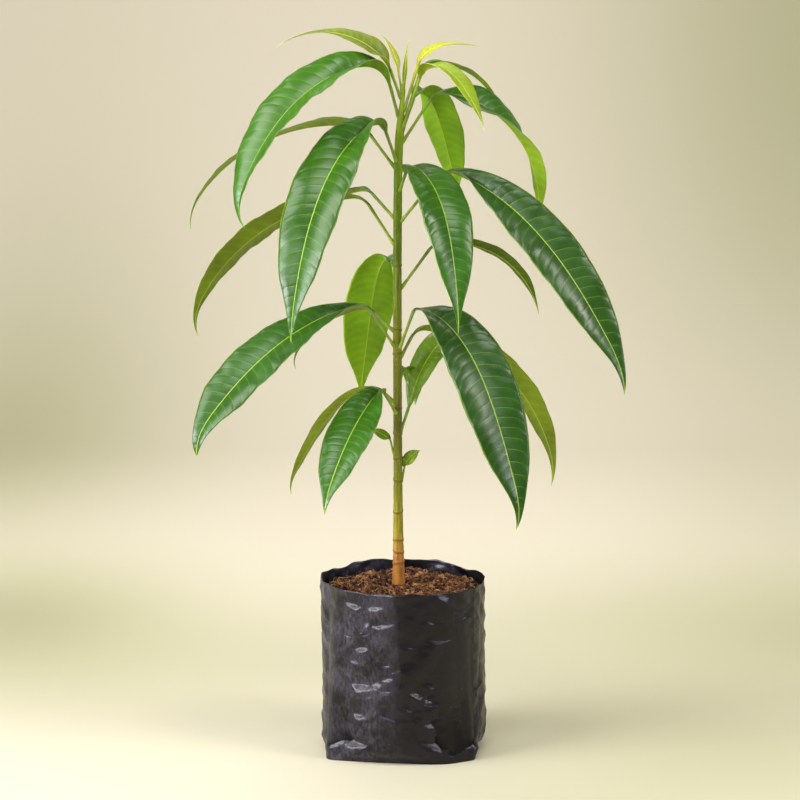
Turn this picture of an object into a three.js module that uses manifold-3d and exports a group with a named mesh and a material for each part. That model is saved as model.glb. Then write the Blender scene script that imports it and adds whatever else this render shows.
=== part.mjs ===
// Mango tree sapling in a black plastic nursery grow bag.
// Millimetres, +Z up, -Y is the front. The origin is the centre of the bag's flat underside.
// The bag is an open tube of thin film with a flat floor, filled with potting soil. One slender stem
// stands on the soil from a flat cut, and carries long drooping leaves, each a solid of its own.
import * as THREE from 'three';
import Module from 'manifold-3d';

const wasm = await Module();
wasm.setup();

// ---------------------------------------------------------------- shared sizes
const FIT_GAP = 0.3;
const DEGREE = Math.PI / 180;

// ---------------------------------------------------------------- shared maths
const clamp01 = (x) => Math.min(Math.max(x, 0), 1);

const smooth = (x) => clamp01(x) ** 2 * (3 - 2 * clamp01(x));

const mix = (a, b, u) => a + (b - a) * u;

// A closed skin through equal rings of points, shut by a fan to one point at each end. Each four-sided
// patch is split along its shorter diagonal.
function loft(start, rings, end) {
  const count = rings[0].length;
  const points = [start, ...rings.flat(), end];
  const last = points.length - 1;
  const at = (row, column) => 1 + row * count + (column % count);
  const faces = [];
  for (let column = 0; column < count; column += 1) {
    faces.push(0, at(0, column + 1), at(0, column));
    for (let row = 0; row + 1 < rings.length; row += 1) {
      const [a, b] = [at(row, column), at(row, column + 1)];
      const [c, d] = [at(row + 1, column), at(row + 1, column + 1)];
      if (points[a].distanceTo(points[d]) <= points[b].distanceTo(points[c])) {
        faces.push(a, b, d, a, d, c);
      } else {
        faces.push(a, b, c, b, d, c);
      }
    }
    faces.push(last, at(rings.length - 1, column), at(rings.length - 1, column + 1));
  }
  const geometry = new THREE.BufferGeometry();
  geometry.setFromPoints(points);
  geometry.setIndex(faces);
  return geometry;
}

function toManifold(geometry) {
  return new wasm.Manifold(new wasm.Mesh({
    numProp: 3,
    vertProperties: new Float32Array(geometry.getAttribute('position').array),
    triVerts: new Uint32Array(geometry.getIndex().array),
  }));
}

function fromManifold(solid) {
  const mesh = solid.getMesh();
  const geometry = new THREE.BufferGeometry();
  geometry.setAttribute('position', new THREE.BufferAttribute(mesh.vertProperties, mesh.numProp));
  geometry.setIndex(Array.from(mesh.triVerts));
  return geometry;
}

// ---------------------------------------------------------------- grow bag
// A 9 inch lay-flat tube of black polythene film, so its radius is 228.6 / pi. The filled bag is round
// above and turns square towards its flat floor, where the film is folded into four corners. It is
// pleated at the sides, and its free rim waves above the soil.
const BAG_RADIUS = 72.8;
const BAG_HEIGHT = 153;
const BAG_FLOOR_HALF_SIDE = 62;
const BAG_FLOOR_TURN = -8;
const BAG_FLOOR_SQUARENESS = 7;
const BAG_CORNER_RISE = 26;
const BAG_FILM = 1;
const BAG_SEGMENTS = 64;
const BAG_WAVE = 0.6;
const FILM_WAVES = [
  { lobes: 3, share: 1, climb: 90 },
  { lobes: 5, share: 0.8, climb: -70 },
];
const PLEAT_DEPTH = 1.3;
const PLEAT_SPREAD = 8;
const PLEAT_ANGLES = [-155, -35, 40, 140];
const RIM_WAVE = 1.3;
const RIM_RIPPLES = 7;
const RIM_RIPPLE_RISE = 0.65;
const RIM_TILT_RISE = 0.65;
const RIM_SADDLE_RISE = 0.8;
const RIM_LIP = 0.4;
const SOIL_EDGE_HEIGHT = 143;
const BAG_ROWS = [3, 7, 12, 18, BAG_CORNER_RISE, 50, 74, 98, 120, SOIL_EDGE_HEIGHT];
const SLOPE_STEP = 0.01;

// Radius of the film's outside at a height and an angle round the bag.
function bagRadius(z, angle) {
  const round = Math.sin((Math.PI / 2) * clamp01(z / BAG_CORNER_RISE));
  const free = smooth((z - SOIL_EDGE_HEIGHT) / (BAG_HEIGHT - SOIL_EDGE_HEIGHT));
  const turned = angle - BAG_FLOOR_TURN * DEGREE;
  const power = BAG_FLOOR_SQUARENESS;
  const reach = (Math.abs(Math.cos(turned)) ** power + Math.abs(Math.sin(turned)) ** power) ** (1 / power);
  let radius = mix(BAG_FLOOR_HALF_SIDE / reach, BAG_RADIUS, round);
  for (const { lobes, share, climb } of FILM_WAVES) {
    radius += BAG_WAVE * round * share * Math.cos(lobes * angle + z / climb);
  }
  radius += RIM_WAVE * free * Math.sin(RIM_RIPPLES * angle);
  for (const pleat of PLEAT_ANGLES) {
    const turn = Math.atan2(Math.sin(angle - pleat * DEGREE), Math.cos(angle - pleat * DEGREE));
    radius -= PLEAT_DEPTH * round * Math.exp(-((turn / DEGREE / PLEAT_SPREAD) ** 2));
  }
  return radius;
}

function bagPoint(z, angle) {
  const radius = bagRadius(z, angle);
  return new THREE.Vector3(radius * Math.cos(angle), radius * Math.sin(angle), z);
}

// The direction square to the wall, pointing out.
function bagNormal(z, angle) {
  const here = bagPoint(z, angle);
  const round = bagPoint(z, angle + SLOPE_STEP).sub(here);
  const up = bagPoint(z + SLOPE_STEP, angle).sub(here);
  return round.cross(up).normalize();
}

// One ring of the wall, moved inwards square to it by the inset.
function bagRing(z, inset) {
  const ring = [];
  for (let k = 0; k < BAG_SEGMENTS; k += 1) {
    const angle = (2 * Math.PI * k) / BAG_SEGMENTS;
    ring.push(bagPoint(z, angle).addScaledVector(bagNormal(z, angle), -inset));
  }
  return ring;
}

// The lowest ring of the same wall, level with a floor that lies the inset above the ground.
function floorRing(inset) {
  const ring = [];
  for (let k = 0; k < BAG_SEGMENTS; k += 1) {
    const angle = (2 * Math.PI * k) / BAG_SEGMENTS;
    const z = inset * (1 + bagNormal(0, angle).z);
    ring.push(bagPoint(z, angle).addScaledVector(bagNormal(z, angle), -inset).setZ(inset));
  }
  return ring;
}

// The rim's edge rises and falls round the bag.
function rimRing(inset, drop) {
  return bagRing(BAG_HEIGHT, inset).map((point, k) => {
    const angle = (2 * Math.PI * k) / BAG_SEGMENTS;
    const ripple = RIM_RIPPLE_RISE * Math.sin(RIM_RIPPLES * angle);
    const rise = ripple - RIM_TILT_RISE * Math.cos(angle) - RIM_SADDLE_RISE * Math.cos(2 * angle);
    return point.setZ(BAG_HEIGHT + rise - drop);
  });
}

function bagWall(inset) {
  return [floorRing(inset), ...BAG_ROWS.map((z) => bagRing(z, inset))];
}

function growBag() {
  const rim = [rimRing(0, RIM_LIP), rimRing(BAG_FILM / 2, 0), rimRing(BAG_FILM, RIM_LIP)];
  const under = new THREE.Vector3(0, 0, 0);
  const floor = new THREE.Vector3(0, 0, BAG_FILM);
  return loft(under, [...bagWall(0), ...rim, ...bagWall(BAG_FILM).reverse()], floor);
}

// ---------------------------------------------------------------- potting soil
// The fill follows the inside of the bag with a small gap, is a little mounded towards the stem, and
// its top is crumbly, apart from a small level spot where the stem stands.
const SOIL_CROWN_HEIGHT = 146;
const SOIL_SPOT_RADIUS = 9;
const SOIL_CRUMB = 0.7;
const SOIL_CRUMB_SPAN = 6;
const SOIL_CALM_SHARE = 0.15;
const SOIL_TOP_RINGS = 7;

function soilTop(x, y) {
  const radius = Math.hypot(x, y);
  const out = clamp01((radius - SOIL_SPOT_RADIUS) / (BAG_RADIUS - BAG_FILM - SOIL_SPOT_RADIUS));
  const u = x / SOIL_CRUMB_SPAN;
  const v = y / SOIL_CRUMB_SPAN;
  const crumb = Math.sin(u + 1) * Math.cos(v) + Math.sin((u - v) / 2);
  const loose = smooth(out / SOIL_CALM_SHARE) * smooth((1 - out) / SOIL_CALM_SHARE);
  return mix(SOIL_CROWN_HEIGHT, SOIL_EDGE_HEIGHT, out ** 2) + SOIL_CRUMB * loose * crumb;
}

function pottingSoil() {
  const inset = BAG_FILM + FIT_GAP;
  const side = bagWall(inset);
  const edge = side[side.length - 1];
  const top = [];
  for (let k = 1; k < SOIL_TOP_RINGS; k += 1) {
    const shrink = 1 - k / SOIL_TOP_RINGS;
    top.push(edge.map((p) => new THREE.Vector3(
      p.x * shrink,
      p.y * shrink,
      soilTop(p.x * shrink, p.y * shrink),
    )));
  }
  const under = new THREE.Vector3(0, 0, inset);
  return loft(under, [...side, ...top], new THREE.Vector3(0, 0, SOIL_CROWN_HEIGHT));
}

// ---------------------------------------------------------------- stem
// Slender and almost straight, flared a little at the foot, thinning to the growing tip. A low ring
// marks each place where a leaf has stood.
const STEM_FOOT_HEIGHT = SOIL_CROWN_HEIGHT + FIT_GAP;
const STEM_TIP_HEIGHT = 590;
const STEM_RADIUS = 3.75;
const STEM_FLARE = 2.1;
const STEM_FLARE_RISE = 45;
const STEM_TIP_TAPER = 0.75;
const STEM_TAPER_FROM = 545;
const STEM_TAPER_RISE = 50;
const STEM_SET_BACK = -3.7;
const STEM_BOW = 1.3;
const STEM_BOW_SPAN = 450;
const STEM_TIP_LEAN = 3.6;
const STEM_LEAN_FROM = 520;
const STEM_LEAN_RISE = 75;
const STEM_SIDES = 16;
const SCAR_HEIGHTS = [167, 177, 187, 213, 241, 261, 283, 306, 355, 376, 432];
const SCAR_RELIEF = 0.35;
const SCAR_HALF_HEIGHT = 1.6;
const STEM_PLAIN_HEIGHTS = [150, 157, 400, 460, 500, 535, 550, 560, 570, 580];

function stemX(z) {
  const bow = STEM_BOW * Math.sin((Math.PI * (z - STEM_FOOT_HEIGHT)) / STEM_BOW_SPAN);
  return STEM_SET_BACK - bow + STEM_TIP_LEAN * smooth((z - STEM_LEAN_FROM) / STEM_LEAN_RISE);
}

function stemRadius(z) {
  const flare = STEM_FLARE * Math.exp(-(z - STEM_FOOT_HEIGHT) / STEM_FLARE_RISE);
  return (STEM_RADIUS + flare) * (1 - STEM_TIP_TAPER * smooth((z - STEM_TAPER_FROM) / STEM_TAPER_RISE));
}

// The stem's skin, grown outwards by the given clearance where it is used to trim the leaf stalks.
function stemSkin(clearance) {
  const rows = [STEM_FOOT_HEIGHT, ...STEM_PLAIN_HEIGHTS, STEM_TIP_HEIGHT].map((z) => [z, 0]);
  for (const z of SCAR_HEIGHTS) {
    rows.push([z - SCAR_HALF_HEIGHT, 0], [z, SCAR_RELIEF], [z + SCAR_HALF_HEIGHT, 0]);
  }
  rows.sort((a, b) => a[0] - b[0]);
  const rings = rows.map(([z, relief]) => {
    const ring = [];
    for (let k = 0; k < STEM_SIDES; k += 1) {
      const angle = (2 * Math.PI * k) / STEM_SIDES;
      const radius = stemRadius(z) + relief + clearance;
      ring.push(new THREE.Vector3(stemX(z) + radius * Math.cos(angle), radius * Math.sin(angle), z));
    }
    return ring;
  });
  const foot = new THREE.Vector3(stemX(STEM_FOOT_HEIGHT), 0, STEM_FOOT_HEIGHT - clearance);
  const tip = new THREE.Vector3(stemX(STEM_TIP_HEIGHT), 0, STEM_TIP_HEIGHT + 2 * clearance);
  return loft(foot, rings, tip);
}

// ---------------------------------------------------------------- leaf rule
// A straight stalk rises from the stem, then the blade's midrib arches over and droops. Angles are in
// degrees: headings run anticlockwise from +X seen from above, slopes are up from level.
//   at       height on the stem            toward   heading of the leaf
//   rise     slope of the stalk            petiole  length of the stalk
//   lift     slope of the blade's base     fall     slope near the blade's tip
//   arch     how late the droop comes      knee     share of the blade that turns from stalk to blade
//   hook     last turn at the tip          swing    turn of the heading along the blade
//   roll     tilt about the midrib         twist    further tilt along the blade
//   fold     rise of each half in a V at the base, easing to open along the blade
//   blade    length of the blade           width    full width where it is widest, at belly
const LEAF_DEFAULTS = {
  swing: 0, roll: 0, twist: 0, hook: -40, belly: 0.46, fold: 50, open: 10, knee: 0.1,
};
const WIDTH_FULLNESS = 2;
const ROLL_ONSET = 0.25;
const HOOK_ONSET = 0.8;
const TIP_PINCH = 0.35;
const TIP_PINCH_ONSET = 0.75;
const TIP_PINCH_SPAN = 0.2;
const FOLD_SPAN = 0.4;
const STALK_INSET = 0.9;
const STALK_RADIUS = 1.3;
const STALK_LEAST_RADIUS = 0.5;
const STALK_SWELL = 0.35;
const STALK_ROOT_DROP = 1.5;
const STALK_SHARE = 0.008;
const BLADE_THICKNESS_SHARE = 0.0105;
const BLADE_LEAST_THICKNESS = 1;
const BLADE_LEAST_HALF_WIDTH = 0.6;
const EDGE_THIN_SHARE = 0.3;
const EDGE_THIN_SPAN = 0.5;
const KEEL_SHARE = 0.8;
const BLEND_SPAN = 0.12;
const MIDRIB_STEPS = 60;
const BLADE_STATIONS = [2, 5, 8, 12, 17, 23, 29, 35, 41, 46, 51, 55, 58];
const STALK_STATIONS = [0.35, 0.75];

function bladeWidthLaw(s, belly) {
  const rising = (s / belly) ** (belly * WIDTH_FULLNESS);
  const closing = ((1 - s) / (1 - belly)) ** ((1 - belly) * WIDTH_FULLNESS);
  return rising * closing * (1 - TIP_PINCH * smooth((s - TIP_PINCH_ONSET) / TIP_PINCH_SPAN));
}

function bladeSlope(leaf, s) {
  const droop = leaf.fall + (leaf.lift - leaf.fall) * (1 - s) ** leaf.arch;
  const knee = (leaf.rise - leaf.lift) * (1 - smooth(s / leaf.knee));
  return droop + knee + leaf.hook * clamp01((s - HOOK_ONSET) / (1 - HOOK_ONSET)) ** 2;
}

// Unit direction of the given slope and heading, with the level side direction and the upper normal.
function frameAt(slope, heading, roll) {
  const e = slope * DEGREE;
  const h = heading * DEGREE;
  const along = new THREE.Vector3(Math.cos(e) * Math.cos(h), Math.cos(e) * Math.sin(h), Math.sin(e));
  const side = new THREE.Vector3(-Math.sin(h), Math.cos(h), 0).applyAxisAngle(along, roll * DEGREE);
  const normal = new THREE.Vector3().crossVectors(along, side);
  return { along, side, normal };
}

const offset = (centre, frame, across, up) => centre.clone()
  .addScaledVector(frame.side, across)
  .addScaledVector(frame.normal, up);

// Eight points round the leaf: two edges, and three points above and three below. The blend turns the
// stalk's round section into the blade's folded lens, with the midrib standing out underneath.
function leafRing(centre, frame, halfWidth, thickness, fold, radius, blend) {
  const half = mix(radius, Math.max(halfWidth, BLADE_LEAST_HALF_WIDTH), blend);
  const f = fold * DEGREE * blend;
  const middle = half * mix(Math.SQRT1_2, 1 / 2, blend);
  const skin = mix(radius * Math.SQRT1_2, thickness / 2, blend);
  const crest = mix(radius, thickness / 2, blend);
  const keel = mix(radius, thickness * KEEL_SHARE, blend);
  const point = (across, up) => {
    const sign = Math.sign(across);
    const wide = Math.abs(across);
    return offset(
      centre,
      frame,
      sign * (wide * Math.cos(f) - up * Math.sin(f)),
      wide * Math.sin(f) + up * Math.cos(f),
    );
  };
  return [
    point(half, 0),
    point(middle, skin),
    offset(centre, frame, 0, crest),
    point(-middle, skin),
    point(-half, 0),
    point(-middle, -skin),
    offset(centre, frame, 0, -keel),
    point(middle, -skin),
  ];
}

function leafSkin(given) {
  const leaf = { ...LEAF_DEFAULTS, ...given };
  const length = leaf.petiole + leaf.blade;
  const thickness = Math.max(length * BLADE_THICKNESS_SHARE, BLADE_LEAST_THICKNESS);
  const radius = Math.min(STALK_RADIUS, STALK_LEAST_RADIUS + length * STALK_SHARE);
  const stalk = frameAt(leaf.rise, leaf.toward, 0);
  const level = frameAt(0, leaf.toward, 0);
  const axis = new THREE.Vector3(stemX(leaf.at), 0, leaf.at);
  const base = axis.clone().addScaledVector(level.along, STALK_INSET * stemRadius(leaf.at));
  const root = axis.clone().setZ(leaf.at - STALK_ROOT_DROP);
  const bend = frameAt(leaf.rise / 2, leaf.toward, 0);
  const swollen = radius * (1 + STALK_SWELL);
  const rings = [
    leafRing(root, level, 0, 0, 0, swollen, 0),
    leafRing(base, bend, 0, 0, 0, swollen, 0),
  ];
  for (const share of STALK_STATIONS) {
    const centre = base.clone().addScaledVector(stalk.along, share * leaf.petiole);
    rings.push(leafRing(centre, stalk, 0, 0, 0, radius, 0));
  }

  const midrib = base.clone().addScaledVector(stalk.along, leaf.petiole);
  const step = leaf.blade / MIDRIB_STEPS;
  let before = stalk;
  for (let k = 0; k <= MIDRIB_STEPS; k += 1) {
    const s = k / MIDRIB_STEPS;
    const roll = leaf.roll * smooth(s / ROLL_ONSET) + leaf.twist * s;
    const frame = frameAt(bladeSlope(leaf, s), leaf.toward + leaf.swing * s, roll);
    if (k > 0) {
      midrib.addScaledVector(before.along, step / 2).addScaledVector(frame.along, step / 2);
    }
    before = frame;
    if (BLADE_STATIONS.includes(k)) {
      const share = bladeWidthLaw(s, leaf.belly);
      const halfWidth = (leaf.width / 2) * share;
      const thin = thickness * Math.min(1, EDGE_THIN_SHARE + share / EDGE_THIN_SPAN);
      const fold = mix(leaf.fold, leaf.open, smooth(s / FOLD_SPAN));
      rings.push(leafRing(midrib, frame, halfWidth, thin, fold, radius, smooth(s / BLEND_SPAN)));
    }
  }
  return loft(root, rings, midrib.clone());
}

// ---------------------------------------------------------------- leaves of this sapling
// From the lowest to the highest on the stem.
const LEAVES = {
  leaf_01: {
    at: 240, toward: 10, rise: 80, petiole: 11,
    lift: 75, fall: 20, arch: 1, hook: 0, blade: 23, width: 12, roll: 50,
  },
  leaf_02: {
    at: 263, toward: 180, rise: 78, petiole: 13,
    lift: 40, fall: 20, arch: 1, hook: 0, blade: 21, width: 10, roll: -50,
  },
  leaf_03: {
    at: 283, toward: 46, rise: 64, petiole: 22,
    lift: 75, fall: -60, arch: 0.55, hook: 0, blade: 140, width: 36, belly: 0.44, fold: 15, roll: 20,
  },
  leaf_04: {
    at: 302, toward: 242, rise: 44, petiole: 28,
    lift: -18, fall: -58, arch: 1.2, hook: -30, blade: 150, width: 42, roll: -10,
  },
  leaf_05: {
    at: 311, toward: 172, rise: 44, petiole: 12,
    lift: 10, fall: -62, arch: 3.5, blade: 140, width: 24, fold: 25, roll: 22,
  },
  leaf_06: {
    at: 323, toward: 96, rise: 56, petiole: 14,
    lift: 20, fall: -85, arch: 1.5, hook: -10, blade: 60, width: 22,
  },
  leaf_07: {
    at: 351, toward: 14, rise: 62, petiole: 17,
    lift: -6, fall: -80, arch: 1.2, hook: -25, blade: 220, width: 38, roll: -30,
  },
  leaf_08: {
    at: 360, toward: -45, rise: 64, petiole: 35,
    lift: 8, fall: -70, arch: 3.2, knee: 0.04, hook: -45, blade: 242, width: 54, fold: 25, roll: 30,
  },
  leaf_09: {
    at: 361, toward: 212, rise: 54, petiole: 36,
    lift: 0, fall: -50, arch: 1.6, hook: -45, blade: 228, width: 48, belly: 0.6, fold: 40, roll: -25,
  },
  leaf_10: {
    at: 374, toward: 170, rise: 43, petiole: 23,
    lift: 0, fall: -70, arch: 1, blade: 100, width: 30,
  },
  leaf_11: {
    at: 412, toward: 12, rise: 53, petiole: 40,
    lift: 16, fall: -78, arch: 1, hook: 0, blade: 134, width: 24, roll: -20,
  },
  leaf_12: {
    at: 414, toward: 110, swing: 10, rise: 65, petiole: 17,
    lift: 35, fall: -75, arch: 5, hook: -10, blade: 168, width: 50, belly: 0.6, fold: 30,
  },
  leaf_13: {
    at: 451, toward: 172, rise: 57, petiole: 37,
    lift: -1, fall: -73, arch: 0.97, blade: 224, width: 40, fold: 30, roll: 28,
  },
  leaf_14: {
    at: 471, toward: -25, rise: 49, petiole: 50,
    lift: -10, fall: -61, arch: 2.1, knee: 0.08, hook: -30, blade: 272, width: 46, belly: 0.49,
    roll: 45,
  },
  leaf_15: {
    at: 473, toward: 148, rise: 42, petiole: 30,
    lift: 8, fall: -88, arch: 1.2, hook: 0, blade: 95, width: 22,
  },
  leaf_16: {
    at: 498, toward: -57, swing: -20, rise: 60, petiole: 17,
    lift: 5, fall: -76, arch: 2.2, hook: -20, blade: 190, width: 47, belly: 0.38, fold: 40,
  },
  leaf_17: {
    at: 518, toward: 172, rise: 53, petiole: 33,
    lift: 12, fall: -66, arch: 1, hook: -30, blade: 208, width: 36,
  },
  leaf_18: {
    at: 524, toward: 234, rise: 60, petiole: 27,
    lift: 0, fall: -78, arch: 1.9, hook: -10, blade: 248, width: 56, roll: -8,
  },
  leaf_19: {
    at: 540, toward: -1, rise: 57, petiole: 42,
    lift: 5, fall: -92, arch: 1.2, hook: -10, blade: 168, width: 44, fold: 12, open: 16, roll: 62,
    twist: -118,
  },
  leaf_20: {
    at: 548, toward: 52, rise: 60, petiole: 33,
    lift: 40, fall: -68, arch: 6, hook: -10, blade: 128, width: 42, belly: 0.42,
  },
  leaf_21: {
    at: 552, toward: -36, rise: 68, petiole: 47,
    lift: 66, fall: -58, arch: 3.2, hook: -20, blade: 98, width: 26, fold: 25,
  },
  leaf_22: {
    at: 556, toward: 17, rise: 71, petiole: 45,
    lift: 27, fall: -60, arch: 1.5, hook: -20, blade: 96, width: 24,
  },
  leaf_23: {
    at: 562, toward: 205, rise: 74, petiole: 23,
    lift: 12, fall: -71, arch: 1.6, knee: 0.2, hook: -55, blade: 232, width: 54, belly: 0.5, fold: 50,
    open: 18, roll: -30, twist: 30,
  },
  leaf_24: {
    at: 567, toward: 5, rise: 73, petiole: 37,
    lift: 83, fall: -8, arch: 2.2, hook: 0, blade: 66, width: 16, fold: 20,
  },
  leaf_25: {
    at: 571, toward: 68, swing: -63, rise: 73, petiole: 12,
    lift: 86, fall: 82, arch: 1, hook: 0, blade: 47, width: 6, fold: 40,
  },
  leaf_26: {
    at: 578, toward: 185, rise: 70, petiole: 24,
    lift: 58, fall: -35, arch: 1, hook: 0, blade: 115, width: 22, belly: 0.38, fold: 35,
  },
  leaf_27: {
    at: 583, toward: 118, swing: 52, rise: 70, petiole: 18,
    lift: 72, fall: 48, arch: 1, hook: 0, blade: 38, width: 9, fold: 50,
  },
};

// ---------------------------------------------------------------- materials
const paint = (name, colour, roughness) => {
  const material = new THREE.MeshStandardMaterial({ color: colour, roughness, metalness: 0 });
  material.name = name;
  return material;
};
const filmPaint = () => paint('black_film', '#17181a', 0.45);
const soilPaint = () => paint('potting_soil', '#5b4030', 0.95);
const barkPaint = () => paint('green_bark', '#6f7a35', 0.7);
const matureLeafPaint = () => paint('mature_leaf', '#3f7a2a', 0.4);
const youngLeafPaint = () => paint('young_leaf', '#a9b83c', 0.45);

// ---------------------------------------------------------------- assembly
const YOUNG_FROM_HEIGHT = 551;
const YOUNG_BLADE_LENGTH = 130;

const sapling = new THREE.Group();
sapling.name = 'mango_sapling';

function place(name, geometry, material) {
  geometry.computeVertexNormals();
  const mesh = new THREE.Mesh(geometry, material);
  mesh.name = name;
  sapling.add(mesh);
}

place('grow_bag', growBag(), filmPaint());
place('potting_soil', pottingSoil(), soilPaint());
place('stem', stemSkin(0), barkPaint());

const trim = toManifold(stemSkin(FIT_GAP));
for (const [name, leaf] of Object.entries(LEAVES)) {
  const young = leaf.at > YOUNG_FROM_HEIGHT && leaf.blade < YOUNG_BLADE_LENGTH;
  const solid = toManifold(leafSkin(leaf)).subtract(trim);
  place(name, fromManifold(solid), young ? youngLeafPaint() : matureLeafPaint());
}

export default sapling;
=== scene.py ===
"""Mango tree sapling in a black polythene grow bag: the looks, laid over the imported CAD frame.

Lengths are worked out in millimetres and go into Blender in metres. +Z is up, -Y is the front,
and the origin is the centre of the bag's flat underside.
"""
import math

import bpy
import numpy as np
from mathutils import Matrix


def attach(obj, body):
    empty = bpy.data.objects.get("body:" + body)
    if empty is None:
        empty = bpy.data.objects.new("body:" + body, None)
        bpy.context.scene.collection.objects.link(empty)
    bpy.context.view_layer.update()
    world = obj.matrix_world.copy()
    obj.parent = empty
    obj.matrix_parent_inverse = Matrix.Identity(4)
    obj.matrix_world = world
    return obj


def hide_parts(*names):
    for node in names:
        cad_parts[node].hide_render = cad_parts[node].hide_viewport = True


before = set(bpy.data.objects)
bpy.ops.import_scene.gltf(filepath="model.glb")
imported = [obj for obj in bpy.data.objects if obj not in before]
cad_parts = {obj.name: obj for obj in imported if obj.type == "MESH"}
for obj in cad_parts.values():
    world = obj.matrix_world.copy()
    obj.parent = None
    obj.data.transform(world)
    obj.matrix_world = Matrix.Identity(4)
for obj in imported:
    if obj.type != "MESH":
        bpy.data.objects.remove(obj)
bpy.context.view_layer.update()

# ------------------------------------------------------------------ camera
# A long lens, a little above the middle of the plant and looking slightly down on it.
PICTURE_SIDE = 800
FOCAL_PIXELS = 2828
CAMERA_PLACE = (-0.0027, -2.461, 0.707)
CAMERA_TILT_DOWN = 9.1
lens = bpy.data.cameras.new("camera")
lens.sensor_width = 24.0
lens.lens = lens.sensor_width * FOCAL_PIXELS / PICTURE_SIDE
lens.clip_end = 50
camera = bpy.data.objects.new("camera", lens)
camera.location = CAMERA_PLACE
camera.rotation_euler = (math.radians(90 - CAMERA_TILT_DOWN), 0, 0)
bpy.context.scene.collection.objects.link(camera)
bpy.context.scene.camera = camera

# ------------------------------------------------------------------ paper sweep
# A roll of matt cream background paper, laid over the table and up behind it in one soft curve.
# It is paler to the left, where the window is, and its colour is darkened in soft clouds of painted shade.
MM = 0.001


def linear(hex_colour):
    """An sRGB hex colour as linear RGBA: c / 12.92 up to 0.04045, else ((c + 0.055) / 1.055) ** 2.4."""
    c = np.array([int(hex_colour[i:i + 2], 16) for i in (1, 3, 5)]) / 255
    c = np.where(c <= 0.04045, c / 12.92, ((c + 0.055) / 1.055) ** 2.4)
    return (*c.tolist(), 1.0)


def add(tree, kind, inputs=(), stops=(), **settings):
    """Adds one node, its kind given without the ShaderNode prefix. Inputs go by name or as a list in
    the node's own order, which is value, from min, from max, to min, to max for a MapRange. Each is a
    value, another node's output, or a node for its first output. Then come the stops of a colour
    ramp as (place, hex colour), and the node's properties by name."""
    made = tree.nodes.new("ShaderNode" + kind)
    for name, value in settings.items():
        setattr(made, name, value)
    for key, value in inputs.items() if isinstance(inputs, dict) else enumerate(inputs):
        if isinstance(value, bpy.types.Node):
            value = value.outputs[0]
        if isinstance(value, bpy.types.NodeSocket):
            tree.links.new(value, made.inputs[key])
        else:
            made.inputs[key].default_value = value
    for k, (place, colour) in enumerate(stops):
        ramp = made.color_ramp.elements
        stop = ramp[k] if k < len(ramp) else ramp.new(place)
        stop.position = place
        stop.color = linear(colour)
    return made


def new_material(name):
    """A material without a shader yet, as (material, tree of its nodes, place on the object). Places
    are in metres, so a pattern of scale 100 has cells of 10 mm."""
    material = bpy.data.materials.new(name)
    material.use_nodes = True
    tree = material.node_tree
    tree.nodes.clear()
    return material, tree, add(tree, "TexCoord").outputs["Object"]


def grid_faces(rows, columns, closed=True):
    """Quads between neighbouring rows of a grid, where point (r, c) is number r * columns + c. A
    closed grid also joins its last column to its first."""
    r = np.arange(rows - 1)[:, None]
    c = np.arange(columns if closed else columns - 1)[None, :]
    n = (c + 1) % columns
    quads = np.stack(np.broadcast_arrays(r * columns + c, r * columns + n,
                                         (r + 1) * columns + n, (r + 1) * columns + c), -1)
    return quads.reshape(-1, 4)


def tube_faces(rings, columns):
    """Quads of a tube of rings, and a fan of triangles that closes each end. The foot's end point and
    then the tip's are numbered after the points of the rings."""
    column = np.arange(columns)
    following = (column + 1) % columns
    foot = np.stack([following, column, 0 * column + rings * columns], -1)
    last = (rings - 1) * columns
    tip = np.stack([last + column, last + following, 0 * column + rings * columns + 1], -1)
    return [grid_faces(rings, columns), foot, tip]


def new_piece(name, points, faces, materials, face_material=None, maps=None):
    """A smooth-shaded mesh object at the origin from points in millimetres. faces is a list of index
    arrays, maps holds attributes of the points, of three parts or of one that fills all three."""
    mesh = bpy.data.meshes.new(name)
    polygons = [polygon for group in faces for polygon in group.tolist()]
    mesh.from_pydata((np.asarray(points) * MM).tolist(), [], polygons)
    for material in materials:
        mesh.materials.append(material)
    if face_material is not None:
        mesh.polygons.foreach_set("material_index", face_material.astype(np.int32))
    for key, values in (maps or {}).items():
        layer = mesh.attributes.new(key, "FLOAT_VECTOR", "POINT")
        values = np.asarray(values, np.float32).reshape(len(points), -1)
        layer.data.foreach_set("vector", np.broadcast_to(values, (len(points), 3)).ravel())
    mesh.polygons.foreach_set("use_smooth", np.ones(len(mesh.polygons), bool))
    mesh.update()
    made = bpy.data.objects.new(name, mesh)
    bpy.context.scene.collection.objects.link(made)
    return made


SWEEP_HALF_WIDTH = 4000
SWEEP_FRONT = -3200
SWEEP_FINE_FROM = -400
SWEEP_BEND_FROM = 1500
SWEEP_BEND_RADIUS = 1500
SWEEP_HEIGHT = 3600
# Soft clouds of painted shade on the paper: middle across and back, reach across and back, strength.
PAINTED_SHADES = [(-586, 1568, 293, 790, 1.05), (756, 2632, 425, 900, 1.0), (560, 900, 260, 700, 0.5),
          (-430, 520, 200, 260, 0.8), (420, 420, 460, 300, 0.62), (650, -620, 420, 330, 1.2),
          (110, -500, 170, 250, 1.3), (300, -60, 230, 190, 0.5), (-310, 290, 260, 230, 0.35),
          (0, 100, 900, 600, 0.4)]

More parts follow.
